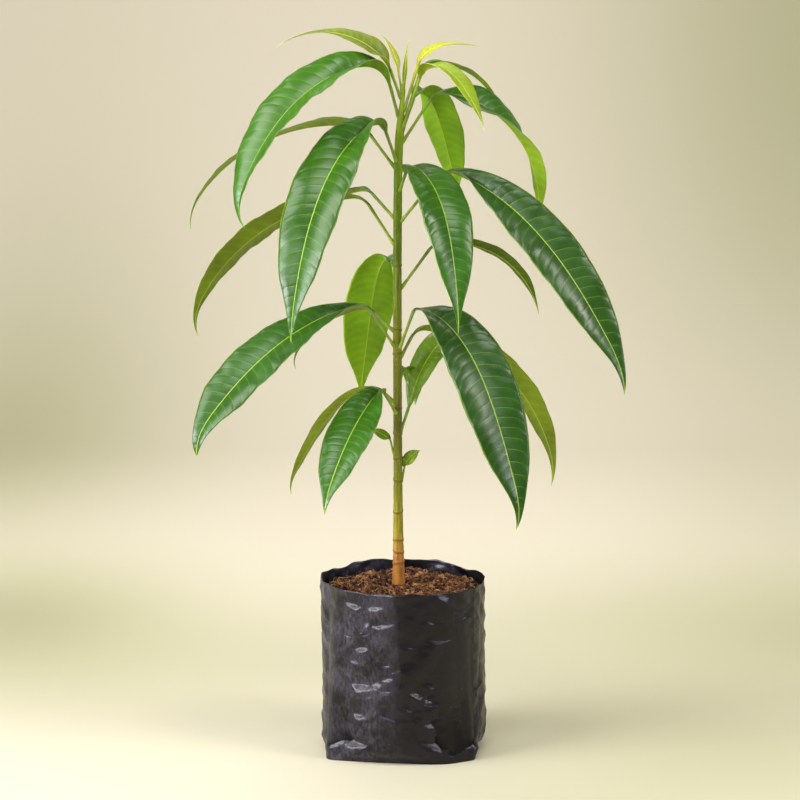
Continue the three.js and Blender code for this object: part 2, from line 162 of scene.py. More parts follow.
# Along the paper: flat, finer from just in front of the bag, a quarter circle, then straight up.
# Across it the points crowd towards the middle.
bend = np.linspace(0, np.pi / 2, 60)
sweep_flat = np.concatenate([np.linspace(SWEEP_FRONT, SWEEP_FINE_FROM - 100, 6),
                             np.linspace(SWEEP_FINE_FROM, SWEEP_BEND_FROM - 20, 50)])
sweep_y = np.concatenate([sweep_flat, SWEEP_BEND_FROM + SWEEP_BEND_RADIUS * np.sin(bend),
                          [SWEEP_BEND_FROM + SWEEP_BEND_RADIUS]])
sweep_z = np.concatenate([0 * sweep_flat, SWEEP_BEND_RADIUS * (1 - np.cos(bend)), [SWEEP_HEIGHT]])
t = np.linspace(-1, 1, 121)
sweep_x = SWEEP_HALF_WIDTH * np.sign(t) * t * t
sweep_points = np.stack(np.broadcast_arrays(sweep_x[None, :], sweep_y[:, None], sweep_z[:, None]), -1)
sweep_points = sweep_points.reshape(-1, 3)
sweep_faces = [grid_faces(len(sweep_y), len(sweep_x), closed=False)]
# The painted shade at each point of the paper: the sum of the clouds' bells.
shade = np.zeros(len(sweep_points))
for x, y, reach_x, reach_y, strength in PAINTED_SHADES:
    off_x = (sweep_points[:, 0] - x) / reach_x
    off_y = (sweep_points[:, 1] - y) / reach_y
    shade += strength * np.exp(-off_x ** 2 - off_y ** 2)

# Matt uncoated paper: cream, with no shine and a slight tooth, which is drawn 1 mm wide, coarser than
# it is, so that it shows. Under its painted shade it turns olive and then dark.
paper, tree, place = new_material("cream_paper")
# Painted shade: the clouds turn the cream towards olive and then dark.
clouds = add(tree, "Attribute", attribute_name="painted_paper_shade").outputs["Fac"]
clouds = add(tree, "Math", [clouds, 0.5], operation="MULTIPLY")
tone = add(tree, "ValToRGB", [clouds], stops=[(0, "#dbd4c4"), (0.5, "#b3b193"), (1, "#706d4b")])
tooth = add(tree, "TexNoise", {"Vector": place, "Scale": 900.0, "Detail": 3.0})
bump = add(tree, "Bump", {"Height": tooth, "Distance": 0.00005, "Strength": 0.4})
shader = add(tree, "BsdfPrincipled", {"Base Color": tone, "Normal": bump, "Roughness": 0.95,
                                      "Specular IOR Level": 0.15})
add(tree, "OutputMaterial", {"Surface": shader})
sweep = new_piece("paper_sweep", sweep_points, sweep_faces, [paper], maps={"painted_paper_shade": shade})

# ------------------------------------------------------------------ light
# Soft studio light: a window-sized panel high on the left, smaller ones on the right and in front,
# three overhead, one low on each side, and dim pale walls all round. A grid on each low one narrows
# its beam, so that the paper near it stays in tone. Sizes and places are in metres.
PLANT_MIDDLE = (0, 0, 0.36)
BAG_MIDDLE = (0, 0, 0.1)
for name, where, aim, size, spread, watts, colour in [
    ("window", (-1.8, -0.55, 2.0), PLANT_MIDDLE, (1.3, 1.5), 180, 42.0, "#fffcf4"),
    ("low_left", (-2.05, -1.19, 0.89), BAG_MIDDLE, (1.67, 0.68), 90, 17.5, "#f8f6ff"),
    ("right_front", (1.8, -1.0, 2.0), PLANT_MIDDLE, (0.7, 0.8), 180, 27.0, "#fffaf0"),
    ("overhead_front", (-0.05, -1.15, 2.45), PLANT_MIDDLE, (1.1, 0.7), 180, 19.0, "#fffefa"),
    ("low_right", (2.5, -0.75, 0.93), BAG_MIDDLE, (2.2, 0.6), 60, 4.2, "#f4f2ff"),
    ("front", (-1.0, -2.3, 1.5), PLANT_MIDDLE, (0.9, 0.6), 180, 11.0, "#fffefa"),
    ("overhead_back", (0.1, 0.9, 2.3), (0, 0.2, 0.3), (1.8, 1.0), 180, 10.0, "#fffdf2"),
    ("over_paper", (0.1, 1.2, 2.6), (0, 2.6, 0.7), (2.4, 0.7), 180, 21.0, "#fffcf4"),
]:
    light = bpy.data.lights.new(name, "AREA")
    light.shape = "RECTANGLE"
    light.size, light.size_y = size
    light.spread = math.radians(spread)
    light.energy = watts
    light.color = linear(colour)[:3]
    lamp = bpy.data.objects.new(name, light)
    x, y, z = np.array(aim) - np.array(where)
    lamp.location = where
    lamp.rotation_euler = (math.atan2(math.hypot(x, y), -z), 0, math.atan2(-x, y))
    lamp.visible_camera = False
    bpy.context.scene.collection.objects.link(lamp)

walls = bpy.data.worlds.new("pale_walls")
walls.use_nodes = True
backdrop = walls.node_tree.nodes["Background"]
backdrop.inputs["Color"].default_value = linear("#f3f0e4")
backdrop.inputs["Strength"].default_value = 0.21
bpy.context.scene.world = walls
bpy.context.scene.view_settings.view_transform = "Standard"

# ------------------------------------------------------------------ grow bag
# A nursery grow bag: a 9 inch lay-flat tube of blown black polythene film, welded and folded square
# at the bottom and filled, so that the film is tight, dented between the lumps of soil and pleated
# at the sides. Its free rim stands in slow waves above the soil.
BAG_RADIUS = 72.8
BAG_HEIGHT = 153
BAG_FLOOR_HALF_SIDE = 62
BAG_FLOOR_TURN = math.radians(-8)
BAG_FLOOR_SQUARENESS = 5
BAG_CORNER_RISE = 26
BAG_WAVE = 0.6
FILM_WAVES = [(3, 1.0, 90), (5, 0.8, -70)]
PLEAT_DEPTH = 1.3
PLEAT_SPREAD = math.radians(8)
PLEAT_ANGLES = np.radians([-155, -35, 40, 140])
RIM_WAVE = 1.3
RIM_RIPPLES = 7
SOIL_EDGE_HEIGHT = 143
FILM = 0.35
FLOOR_THICKNESS = 0.9
RISE_FROM = 120
INSIDE_DOWN_TO = 0.86
BAG_COLUMNS = 560
BAG_ROWS = 150
INSIDE_ROWS = 14


def smooth(x):
    """Eases from 0 to 1: 3 x^2 - 2 x^3 with x held to 0..1."""
    x = np.clip(x, 0, 1)
    return x * x * (3 - 2 * x)


def mix(a, b, share):
    """The value that share of the way from a to b."""
    return a + (b - a) * share


def bell(x):
    """A bell that is 1 in its middle: exp(-x^2)."""
    return np.exp(-x * x)


def turn_from(angle, other):
    """The turn from another angle to this one, between minus and plus half a turn."""
    return np.angle(np.exp(1j * (angle - other)))


def bag_radius(z, angle):
    """Radius of the film before its small folds: a circle that turns into a rounded square towards
    the floor, plus slow waves and side pleats, plus a ripple in the free rim."""
    rounding = np.sin(np.pi / 2 * np.clip(z / BAG_CORNER_RISE, 0, 1))
    free = smooth((z - SOIL_EDGE_HEIGHT) / (BAG_HEIGHT - SOIL_EDGE_HEIGHT))
    turned = angle - BAG_FLOOR_TURN
    power = BAG_FLOOR_SQUARENESS
    reach = (np.abs(np.cos(turned)) ** power + np.abs(np.sin(turned)) ** power) ** (1 / power)
    radius = mix(BAG_FLOOR_HALF_SIDE / reach, BAG_RADIUS, rounding)
    for lobes, share, climb in FILM_WAVES:
        radius = radius + BAG_WAVE * rounding * share * np.cos(lobes * angle + z / climb)
    radius = radius + RIM_WAVE * free * np.sin(RIM_RIPPLES * angle)
    for pleat in PLEAT_ANGLES:
        radius = radius - PLEAT_DEPTH * rounding * bell(turn_from(angle, pleat) / PLEAT_SPREAD)
    return radius


# Standing folds of the film: angle round the bag at the fold's foot, height of the fold, reach to each
# side, the heights between which it runs, and its lean sideways. The first is the front corner of the
# flat tube, and the short leaning ones spread from the tucked corners of the foot.
STANDING_FOLDS = [(-94, 5.2, 22, 10, 158, 0), (-52, -0.8, 6, 30, 158, 0), (-33, 0.9, 5, 12, 158, 0),
                  (-113, -0.5, 7, 60, 158, 0), (-141, 0.7, 6, 12, 158, 0), (-158, -0.9, 4, 10, 158, 0),
                  (-20, -0.8, 4, 10, 158, 0), (30, 1.0, 7, 10, 158, 0), (52, -0.8, 5, 20, 158, 0),
                  (88, 1.3, 12, 20, 158, 0), (128, 0.9, 6, 10, 158, 0), (147, -0.8, 5, 10, 158, 0)]
for corner in (-143, -53, 37, 127):
    STANDING_FOLDS += [(corner - 3, -1.5, 3.0, -20, 34, 0.55), (corner + 5, -1.3, 3.5, -20, 42, -0.7),
                       (corner + 14, 1.1, 4.0, -20, 30, -1.1), (corner - 13, 1.0, 4.0, -20, 36, 0.9)]
# Hanging dents, where the film sags in between lumps of soil and turns out again over the next: angle,
# height of the deepest line above the ground, half width, reach of the slope above it, and depth.
HANGING_DENTS = [(-126, 143, 13, 5.0, 1.8), (-107, 143, 10, 5.0, 1.6), (-108, 127, 13, 7.0, 1.9),
                 (-128, 119, 13, 8.0, 2.6), (-122, 104, 10, 6.0, 1.6), (-117, 73, 18, 10.0, 3.0),
                 (-124, 45, 15, 9.0, 2.6), (-98, 86, 11, 8.0, 1.4), (-78, 73, 16, 12.0, 1.8),
                 (-56, 69, 15, 11.0, 3.4), (-69, 61, 13, 8.0, 2.4), (-66, 37, 11, 6.0, 2.6),
                 (-50, 42, 10, 6.0, 2.6), (-62, 113, 16, 12.0, 1.8), (-136, 27, 10, 6.0, 2.4),
                 (-84, 108, 12, 9.0, 1.3), (-142, 77, 9, 7.0, 1.4), (-44, 129, 9, 6.0, 1.3),
                 (-124, 19, 12, 6.0, 2.2), (-58, 26, 13, 6.0, 2.4), (-86, 52, 15, 8.0, 1.0)]
# More of them all round, shallower at the bag's two sides: rows of large ones set like bricks, then
# small ones anywhere.
DENT_ROWS = 5
DENTS_IN_ROW = 9
DENT_ROW_SPACING = 27
SMALL_DENTS = 64
rng = np.random.default_rng(11)
for row in range(DENT_ROWS):
    for k in range(DENTS_IN_ROW):
        fold = 360 * (k + 0.5 * (row % 2) + rng.uniform(-0.4, 0.4)) / DENTS_IN_ROW
        facing = abs(math.sin(math.radians(fold)))
        middle = 16 + DENT_ROW_SPACING * row + rng.uniform(-12, 12)
        HANGING_DENTS.append((fold, middle, rng.uniform(10, 20), rng.uniform(6.0, 13.0),
                              rng.uniform(0.3, 2.0) * mix(0.3, 1.0, facing)))
for k in range(SMALL_DENTS):
    fold = rng.uniform(0, 360)
    facing = abs(math.sin(math.radians(fold)))
    HANGING_DENTS.append((fold, rng.uniform(8, 140), rng.uniform(4, 9), rng.uniform(3.0, 5.5),
                          rng.uniform(0.4, 1.6) * mix(0.4, 1.0, facing)))
LIP_SLOPE = 0.34
FOLDS_FROM_HEIGHT = 7
# Folded corners of the foot: angle, how far each stands out, and half width, with the height over which
# they fade out, and the roll of film that bulges all round just above the ground.
FOOT_CORNERS = [(-38, 9.0, 11), (-144, 5.5, 10), (38, 5.0, 10), (128, 4.0, 10)]
FOOT_CORNER_FADE = (5, 30)
FOOT_BULGE = 3.5
FOOT_BULGE_HEIGHT = 11
FOOT_BULGE_REACH = 8
# Crossing creases of the handled film: turns round the bag, spacing up it, phase, and height. Those
# of negative height are ridges with hollows between them.
CREASES = [(4, 17, 0.3, 0.25), (-5, 13, 1.7, 0.2), (9, 23, 4.0, 0.25), (-7, 31, 2.2, 0.3),
           (13, -11, 5.1, 0.15), (9, 21, 0.9, -1.0), (-8, 24, 2.5, -1.0), (8, 17, 3.6, -0.6)]
CREASE_MEAN = 0.64


def film_relief(z, angle):
    """Distance that the folds move the film outwards. A standing fold is a sharp crest, height times
    exp(-distance / reach). A hanging dent sinks slowly down to a smile-shaped line and comes out in a
    steeper lip under it: depth times a bell above the line, an eased ramp down to nothing below it,
    and a bell across, with u counted in half widths. The line tilts one way or the other. A crease is
    height times |sin| less its mean, of a slanting phase that slow waves bend and let come and go.
    The foot's roll is a bell over the height, and each of its corners a bell round the bag."""
    relief = np.zeros_like(z * angle)
    for fold, height, reach, low, high, lean in STANDING_FOLDS:
        arc = turn_from(angle, math.radians(fold)) * BAG_RADIUS
        wander = 2.2 * np.sin(z / 21 + fold) + 1.1 * np.sin(z / 7.7 + 2 * fold) + lean * z
        run = smooth((z - low) / 30) * smooth((high - z) / 6)
        relief = relief + height * run * np.exp(-np.hypot(arc + wander, 0.6) / reach)
    for fold, level, half_width, reach, depth in HANGING_DENTS:
        u = turn_from(angle, math.radians(fold)) * BAG_RADIUS / half_width
        v = z - level - 0.3 * reach * u * u + 0.35 * reach * u * np.sin(fold * level)
        lip = depth / LIP_SLOPE
        above = bell(np.maximum(v, 0) / reach)
        relief = relief - depth * bell(u) * above * smooth(1 + v / lip)
    for turns, spacing, phase, height in CREASES:
        bent = 0.5 * np.sin(3 * angle + z / 19 + phase) + 0.35 * np.sin(7 * angle - z / 11 + 2 * phase)
        come = smooth(0.5 + 0.5 * np.sin(2 * angle + z / 26 + 3 * phase))
        ridge = np.abs(np.sin(turns * angle + np.pi * z / spacing + phase + bent)) - CREASE_MEAN
        relief = relief + height * come * ridge
    relief = relief * smooth(z / FOLDS_FROM_HEIGHT)
    relief = relief + FOOT_BULGE * bell((z - FOOT_BULGE_HEIGHT) / FOOT_BULGE_REACH)
    low, high = FOOT_CORNER_FADE
    for corner, out, half_width in FOOT_CORNERS:
        arc = turn_from(angle, math.radians(corner)) * BAG_RADIUS
        relief = relief + out * (1 - smooth((z - low) / (high - low))) * bell(arc / half_width)
    return relief


def bag_shell(z, angle, inset):
    """The film as points: the radius with its relief, less the inset, turned round the axis. The
    inset is taken along the radius, which is square enough to the wall for a thin film."""
    radius = bag_radius(z, angle) + film_relief(z, angle) - inset
    return np.stack([radius * np.cos(angle), radius * np.sin(angle), z + 0 * angle], -1)


def rim_rise(angle):
    """Height of the rim's edge above its mean: seven ripples, a tilt and a saddle, and fine ripples."""
    return (0.65 * np.sin(RIM_RIPPLES * angle) - 0.65 * np.cos(angle) - 0.8 * np.cos(2 * angle)
            + 0.35 * np.sin(17 * angle + 1) + 0.2 * np.sin(29 * angle))


def bag_wall(level, angle, inset):
    """The wall at shares of the bag's height, which take on the rim's rise from RISE_FROM upwards."""
    z = level * BAG_HEIGHT
    free = smooth((z - RISE_FROM) / (BAG_HEIGHT - RISE_FROM))
    return bag_shell(z + free * rim_rise(angle), angle, inset)


# Up the outside, over the rim's edge, down the inside to below the soil, and the floor's upper side.
angle = np.linspace(0, 2 * np.pi, BAG_COLUMNS, endpoint=False)[None, :]
outside = bag_wall(np.linspace(0, 1, BAG_ROWS)[:, None] ** 0.93, angle, 0)
inside = bag_wall(np.linspace(1, INSIDE_DOWN_TO, INSIDE_ROWS)[:, None], angle, FILM)
edge = (outside[-1:] + inside[:1]) / 2 + np.array([0, 0, FILM / 3])
foot = bag_shell(np.array([[FLOOR_THICKNESS]]), angle, FILM)
bag_points = np.concatenate([outside, edge, inside, foot]).reshape(-1, 3)
rings = len(outside) + 1 + len(inside) + 1
bag_points = np.concatenate([bag_points, [[0, 0, 0], [0, 0, FLOOR_THICKNESS]]])
bag_faces = tube_faces(rings, BAG_COLUMNS)

# Blown low-density polythene with carbon black: very dark, with a soft waxy sheen, pale specks of dust,
# and stretch wrinkles some 12 mm apart. A grey bloom of dust on its left half is partly real dust and
# partly painted sheen of the light from the left. The dust's grains are drawn 2 mm wide and the lines
# of the film's draw 1 mm apart, coarser than they are, so that they show.
film, tree, place = new_material("black_polythene_film")
bloom = add(tree, "TexNoise", {"Vector": place, "Scale": 28.0, "Detail": 6.0, "Roughness": 0.6})
tone = add(tree, "ValToRGB", [bloom], stops=[(0.35, "#0a080a"), (0.7, "#161317")])
across = add(tree, "SeparateXYZ", [place])
# Painted sheen: the grey bloom is laid on the left half only, none from 2 mm right of the middle and full
# from 30 mm left of it, partly real dust and partly painted light from the left.
sheen_side = add(tree, "MapRange", [across, 0.002, -0.03])
combed = add(tree, "Mapping", {"Vector": place, "Scale": (1.0, 1.0, 0.45)})
grains = add(tree, "TexNoise", {"Vector": combed, "Scale": 420.0, "Detail": 3.0, "Roughness": 0.7})
cloudy = add(tree, "TexNoise", {"Vector": place, "Scale": 45.0, "Detail": 3.0})
patchy = add(tree, "Math", [grains, cloudy], operation="MULTIPLY")
grain = add(tree, "MapRange", [patchy, 0.17, 0.42, 0.0, 0.6])
dust_on_sheen_side = add(tree, "Math", [sheen_side, grain], operation="MULTIPLY")
dust_and_sheen = add(tree, "Mix", {"Factor": dust_on_sheen_side, "A": tone, "B": linear("#595764")}, data_type="RGBA")
specks = add(tree, "TexVoronoi", {"Vector": place, "Scale": 150.0})
speck = add(tree, "MapRange", [specks, 0.02, 0.07, 0.55, 0.0])
patches = add(tree, "TexNoise", {"Vector": place, "Scale": 60.0, "Detail": 2.0})
patch = add(tree, "MapRange", [patches, 0.54, 0.6])
dust = add(tree, "Math", [speck, patch], operation="MULTIPLY")
colour = add(tree, "Mix", {"Factor": dust, "A": dust_and_sheen.outputs["Result"], "B": linear("#a8a49c")},
             data_type="RGBA")
rubbed = add(tree, "MapRange", [bloom, 0.3, 0.7, 0.4, 0.54])
flat = add(tree, "Mapping", {"Vector": place, "Scale": (1.0, 1.0, 1.9)})
creases = add(tree, "TexVoronoi", {"Vector": flat, "Scale": 75.0, "Smoothness": 0.25},
              feature="SMOOTH_F1")
wrinkles = add(tree, "TexNoise", {"Vector": flat, "Scale": 90.0, "Detail": 3.0, "Roughness": 0.5,
                                  "Distortion": 0.6})
relief = add(tree, "Math", [creases, wrinkles], operation="ADD")
drawn = add(tree, "Mapping", {"Vector": place, "Scale": (1.0, 1.0, 0.12)})
lines = add(tree, "TexNoise", {"Vector": drawn, "Scale": 900.0, "Detail": 2.0})
relief = add(tree, "Math", [lines, 0.06, relief], operation="MULTIPLY_ADD")
bump = add(tree, "Bump", {"Height": relief, "Distance": 0.0012, "Strength": 0.3})
shader = add(tree, "BsdfPrincipled", {
    "Base Color": colour.outputs["Result"], "Roughness": rubbed, "Normal": bump, "Coat Normal": bump,
    "Coat Weight": 0.38, "Coat Roughness": 0.21, "IOR": 1.51, "Specular IOR Level": 0.16,
    "Specular Tint": linear("#dcd4f0")})
add(tree, "OutputMaterial", {"Surface": shader})

bag = new_piece("grow_bag_film", bag_points, bag_faces, [film])
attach(bag, "root")
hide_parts("grow_bag")

# ------------------------------------------------------------------ potting soil
# Coir and peat potting mix: loose brown crumbs with springy orange-brown coir fibres, a little
# mounded and open between the lumps, where its colour is darkened with painted shade.
SOIL_CROWN_HEIGHT = 146
SOIL_SPOT_RADIUS = 9
SOIL_SIDE_HEIGHTS = [1.5, 14.0, 40.0, 90.0, 132.0]
SOIL_SIDE_INSET = 5.0
SOIL_EDGE_INSET = 1.4
SOIL_REACH = 66.5
STEM_CLEARANCE = 7.5
LATTICE = 64
SOIL_RINGS = 96
SOIL_COLUMNS = 360
CRUMB_COUNT = 3200
FIBRE_COUNT = 2100


def lumps(x, y, size, seed):
    """Value noise from -1 to 1: random heights on a square lattice of the given size, eased
    together between its corners."""
    heights = np.random.default_rng(seed).uniform(-1, 1, (LATTICE, LATTICE))
    u, v = x / size + (LATTICE - 1) / 2, y / size + (LATTICE - 1) / 2
    i, j = np.floor(u).astype(int), np.floor(v).astype(int)
    fu, fv = smooth(u - i), smooth(v - j)
    i, j = i % (LATTICE - 1), j % (LATTICE - 1)
    low = mix(heights[i, j], heights[i + 1, j], fu)
    high = mix(heights[i, j + 1], heights[i + 1, j + 1], fu)
    return mix(low, high, fv)


def soil_lumps(x, y):
    """Height of the loose lumps over the plain mound: value noise of 13, 5.5 and 2.4 mm."""
    return 1.3 * lumps(x, y, 13, 1) + 1.6 * lumps(x, y, 5.5, 2) + 0.9 * lumps(x, y, 2.4, 3)


def soil_height(x, y):
    """Height of the loose top: the mound that falls from the stem to the edge, plus its lumps."""
    radius = np.hypot(x, y)
    out = np.clip((radius - SOIL_SPOT_RADIUS) / (BAG_RADIUS - 1 - SOIL_SPOT_RADIUS), 0, 1)
    return mix(SOIL_CROWN_HEIGHT, SOIL_EDGE_HEIGHT, out ** 2) + smooth(out / 0.15) * soil_lumps(x, y)


def painted_lump_light(x, y, share=1):
    """Painted shade and light at a place on the bed, from dark in the hollows to lit on the lumps: a share
    of an eased step over the height of the lumps."""
    return 0.05 + 1.7 * smooth(0.38 + 0.42 * soil_lumps(x, y)) * share


angle = np.linspace(0, 2 * np.pi, SOIL_COLUMNS, endpoint=False)[None, :]
side = bag_shell(np.array(SOIL_SIDE_HEIGHTS)[:, None], angle, SOIL_SIDE_INSET)
shrink = np.linspace(1, 0.01, SOIL_RINGS)[:, None, None]
top = bag_shell(np.array([[SOIL_EDGE_HEIGHT - 1.0]]), angle, SOIL_EDGE_INSET) * shrink
top[..., 2] = soil_height(top[..., 0], top[..., 1])
soil_points = np.concatenate([side, top]).reshape(-1, 3)
rings = len(side) + len(top)
soil_points = np.concatenate([soil_points, [[0, 0, SOIL_SIDE_HEIGHTS[0]], [0, 0, SOIL_CROWN_HEIGHT]]])
soil_faces = tube_faces(rings, SOIL_COLUMNS)

# Damp coir and peat: dull, in grains of 5 mm and less, darker where damp and a warm brown where it
# is dry. Painted shade makes it almost black in the hollows and lighter on the lumps.
soil, tree, place = new_material("coir_potting_mix")
grain = add(tree, "TexNoise", {"Vector": place, "Scale": 210.0, "Detail": 5.0, "Roughness": 0.7})
damp = add(tree, "TexNoise", {"Vector": place, "Scale": 55.0, "Detail": 2.0})
wet = add(tree, "MapRange", [damp, 0.35, 0.62, 0.3, 1.05])
dry = add(tree, "ValToRGB", [grain], stops=[(0.4, "#0d0806"), (0.52, "#261811"), (0.68, "#5c3a26")])
# Painted shade: dark in the hollows and light on the lumps, multiplied by the random damp.
painted_shade_share = add(tree, "Attribute", attribute_name="soil_painted_shade").outputs["Fac"]
damp_and_painted_shade = add(tree, "Math", [painted_shade_share, wet], operation="MULTIPLY")
tone = add(tree, "VectorMath", {0: dry, "Scale": damp_and_painted_shade}, operation="SCALE")
bump = add(tree, "Bump", {"Height": grain, "Distance": 0.0012, "Strength": 0.9})
shader = add(tree, "BsdfPrincipled", {"Base Color": tone, "Normal": bump, "Roughness": 0.93,
                                      "Specular IOR Level": 0.25})
add(tree, "OutputMaterial", {"Surface": shader})

soil_bed = new_piece("soil_bed", soil_points, soil_faces, [soil],
                     maps={"soil_painted_shade": painted_lump_light(soil_points[:, 0], soil_points[:, 1])})
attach(soil_bed, "root")
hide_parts("potting_soil")


def scattered(count, seed, reach):
    """Seeded points spread evenly over a disc of the given radius, clear of the stem."""
    spread = np.random.default_rng(seed)
    radius = np.sqrt(spread.uniform(STEM_CLEARANCE ** 2, reach ** 2, count))
    turn = spread.uniform(0, 2 * np.pi, count)
    return radius * np.cos(turn), radius * np.sin(turn)


# Crumbs: one uneven eight-faced lump, turned, stretched and dropped on the bed many times.
spread = np.random.default_rng(5)
x, y = scattered(CRUMB_COUNT, 6, SOIL_REACH)
size = 0.6 + 2.2 * spread.uniform(0, 1, CRUMB_COUNT) ** 3
corner = np.array([[1, 0, 0], [-1, 0, 0], [0, 1, 0], [0, -1, 0], [0, 0, 1], [0, 0, -1]], float)
octahedron = np.array([[0, 2, 4], [2, 1, 4], [1, 3, 4], [3, 0, 4],
                       [2, 0, 5], [1, 2, 5], [3, 1, 5], [0, 3, 5]])
turns, _ = np.linalg.qr(spread.normal(size=(CRUMB_COUNT, 3, 3)))
turns = turns * np.sign(np.linalg.det(turns))[:, None, None]
uneven = corner[None] * spread.uniform(0.55, 1.2, (CRUMB_COUNT, 6, 1))
crumb_points = np.einsum("nij,nkj->nki", turns, uneven) * size[:, None, None]
crumb_points = crumb_points + np.stack([x, y, soil_height(x, y) + 0.25 * size], -1)[:, None, :]
crumb_faces = (octahedron[None] + len(corner) * np.arange(CRUMB_COUNT)[:, None, None]).reshape(-1, 3)
# Each crumb takes the painted shade of its place on the bed, varied at random.
painted_shade_share = np.repeat(painted_lump_light(x, y, spread.uniform(0.5, 1.5, CRUMB_COUNT)), len(corner))
crumbs = new_piece("soil_crumbs", crumb_points.reshape(-1, 3), [crumb_faces], [soil],
                   maps={"soil_painted_shade": painted_shade_share})
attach(crumbs, "root")

# Fibres: thin bent strands of three sides, each an arc that lies on the bed and lifts at its middle.
FIBRE_STEPS = 8
x, y = scattered(FIBRE_COUNT, 8, SOIL_REACH - 0.5)
length = spread.uniform(4, 15, FIBRE_COUNT)
heading = spread.uniform(0, 2 * np.pi, FIBRE_COUNT)
curl = spread.normal(0, 2.2, FIBRE_COUNT)
lift = spread.uniform(0.3, 3.4, FIBRE_COUNT)
along = np.linspace(0, 1, FIBRE_STEPS)[None, :]
turned = heading[:, None] + curl[:, None] * along
step = length[:, None] / (FIBRE_STEPS - 1)
path_x = x[:, None] + np.cumsum(np.cos(turned) * step, 1)
path_y = y[:, None] + np.cumsum(np.sin(turned) * step, 1)
inside_rim = np.minimum(1, SOIL_REACH / np.hypot(path_x, path_y))
path_x, path_y = path_x * inside_rim, path_y * inside_rim
path_z = soil_height(path_x, path_y) + 0.1 + lift[:, None] * np.sin(np.pi * along)
thick = (spread.uniform(0.18, 0.45, FIBRE_COUNT)[:, None] * (1 - 0.55 * along))[..., None]
around = np.array([0, 2 * np.pi / 3, 4 * np.pi / 3])[None, None, :]
fibre_points = np.stack([path_x[..., None] - np.sin(turned)[..., None] * thick * np.cos(around),
                         path_y[..., None] + np.cos(turned)[..., None] * thick * np.cos(around),
                         path_z[..., None] + thick * np.sin(around)], -1)
one_fibre = grid_faces(FIBRE_STEPS, 3)
last = 3 * (FIBRE_STEPS - 1)
strand = np.arange(FIBRE_COUNT)[:, None, None] * 3 * FIBRE_STEPS
fibre_faces = [(one_fibre[None] + strand).reshape(-1, 4),
               (np.array([[2, 1, 0], [last, last + 1, last + 2]])[None] + strand).reshape(-1, 3)]

# Coconut husk fibre: dry, hair-thin, from straw to dark orange-brown.
coir, tree, place = new_material("coir_fibre")
strands = add(tree, "TexNoise", {"Vector": place, "Scale": 160.0, "Detail": 2.0})
tone = add(tree, "ValToRGB", [strands], stops=[(0.36, "#3c2415"), (0.52, "#825330"), (0.68, "#c89462")])
shader = add(tree, "BsdfPrincipled", {"Base Color": tone, "Roughness": 0.8, "Specular IOR Level": 0.3})
add(tree, "OutputMaterial", {"Surface": shader})
fibres = new_piece("soil_fibres", fibre_points.reshape(-1, 3), fibre_faces, [coir])
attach(fibres, "root")

# ------------------------------------------------------------------ stem
# A young mango stem: smooth and green, woody and tan for the first 40 mm above the soil, with a
# raised ring wherever a leaf has stood, thinning into the growing tip.
STEM_FOOT_HEIGHT = 146.3
STEM_TIP_HEIGHT = 590
STEM_SUNK = 2.5
STEM_SET_BACK = 3.7
STEM_BOW = 1.3
BOW_SPAN = 450
STEM_LEAN = 3.6
LEAN_FROM = 520
LEAN_OVER = 75
STEM_RADIUS = 3.75
STEM_FLARE = 2.1
FLARE_REACH = 45
STEM_THINNING = 0.75
THIN_FROM = 545
THIN_OVER = 50
BARK_FADE = 60
SCAR_HEIGHTS = [167, 177, 187, 213, 241, 261, 283, 306, 355, 376, 432]
SCAR_TILT = 0.8
STEM_ROWS = 620
STEM_COLUMNS = 48


def stem_x(z):
    """Side place of the stem's middle: set back, bowed by a half sine, and leaning to +X at the top."""
    bow = STEM_BOW * np.sin(np.pi * (z - STEM_FOOT_HEIGHT) / BOW_SPAN)
    return -STEM_SET_BACK - bow + STEM_LEAN * smooth((z - LEAN_FROM) / LEAN_OVER)


def stem_radius(z):
    """Radius of the stem: a flare that dies away upwards, and a taper over the last 45 mm."""
    flare = STEM_FLARE * np.exp(-(z - STEM_FOOT_HEIGHT) / FLARE_REACH)
    return (STEM_RADIUS + flare) * (1 - STEM_THINNING * smooth((z - THIN_FROM) / THIN_OVER))


def over_scars(z, angle):
    """Height of each point over each ring scar, one after the other. Every ring tilts its own way."""
    return [z - scar - SCAR_TILT * np.cos(angle - 2.4 * k) for k, scar in enumerate(SCAR_HEIGHTS)]


def stem_rings(z, angle):
    """Share of a ring scar at a point of the bark: a bell that reaches 1 mm from each ring."""
    share = 0 * z * angle
    for off in over_scars(z, angle):
        share = share + bell(off)
    return share


def stem_relief(z, angle):
    """Height of the bark over the plain stem: a rounded ring at each scar with a groove under it,
    and shallow ridges that run up the stem."""
    relief = 0.10 * np.sin(5 * angle + z / 40) + 0.06 * np.sin(11 * angle - z / 23)
    relief = relief + 0.10 * lumps(angle * 4 + 0 * z, z + 0 * angle, 3.2, 21)
    for off in over_scars(z, angle):
        relief = relief + 0.42 * bell(off / 1.1) - 0.22 * bell(off / 1.1 + 2)
    return relief


angle = np.linspace(0, 2 * np.pi, STEM_COLUMNS, endpoint=False)[None, :]
level = np.linspace(STEM_FOOT_HEIGHT - STEM_SUNK, STEM_TIP_HEIGHT, STEM_ROWS)[:, None]
radius = stem_radius(level) + stem_relief(level, angle) * smooth((STEM_TIP_HEIGHT - level) / BARK_FADE)
stem_points = np.stack([stem_x(level) + radius * np.cos(angle), radius * np.sin(angle),
                        level + 0 * angle], -1).reshape(-1, 3)
rings = len(level)
stem_points = np.concatenate([stem_points, [
    [stem_x(SOIL_CROWN_HEIGHT), 0, STEM_FOOT_HEIGHT - STEM_SUNK],
    [stem_x(STEM_TIP_HEIGHT), 0, STEM_TIP_HEIGHT + 0.6]]])
stem_faces = tube_faces(rings, STEM_COLUMNS)

